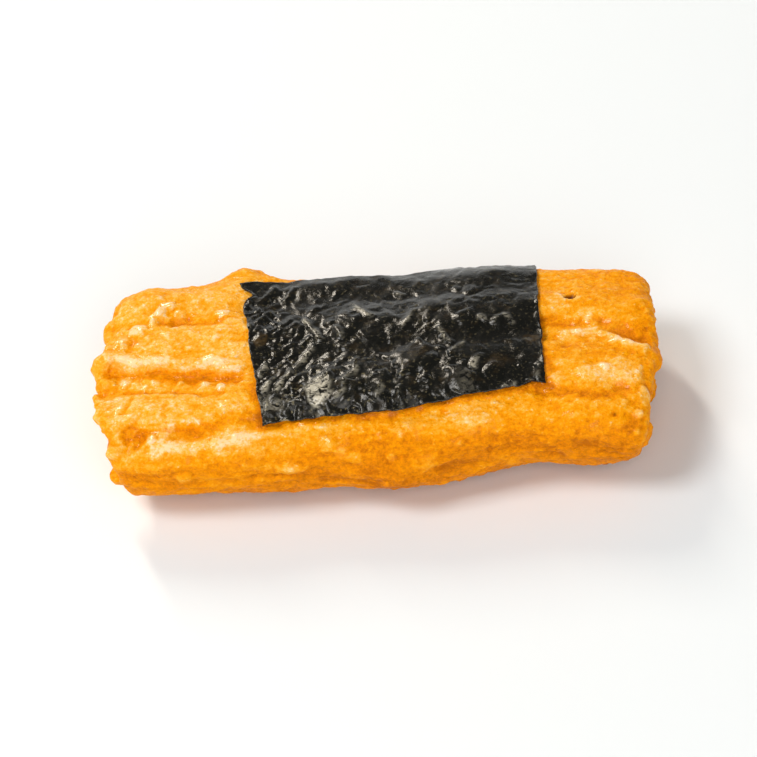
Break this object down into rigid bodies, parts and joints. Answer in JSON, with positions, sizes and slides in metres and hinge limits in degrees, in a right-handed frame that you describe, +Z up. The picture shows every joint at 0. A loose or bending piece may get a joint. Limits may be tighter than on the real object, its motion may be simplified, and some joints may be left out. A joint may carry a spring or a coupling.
{
  "type": "japanese rice cracker",
  "caption": "Long ridged puffed rice cracker, fried and glazed with soy sauce, with a rectangular sheet of nori seaweed over its middle.",
  "frame": {"origin": "centre of the bounding box's bottom, on the surface the cracker lies on", "axes": "+X along the cracker's length, -Y towards its front, the long side that the sheet's lower edge is on, +Z up out of its top face"},
  "size_m": [0.0603, 0.0272, 0.014],
  "materials": {
    "cracker_crust": "puffed and fried rice dough, golden orange, granular, with a thin half-glossy soy glaze",
    "nori_sheet": "pressed dried seaweed, blackish green, crinkled, half-glossy"
  },
  "bodies": {
    "root": {"cracker": "cracker_crust", "nori": "nori_sheet"}
  },
  "joints": []
}
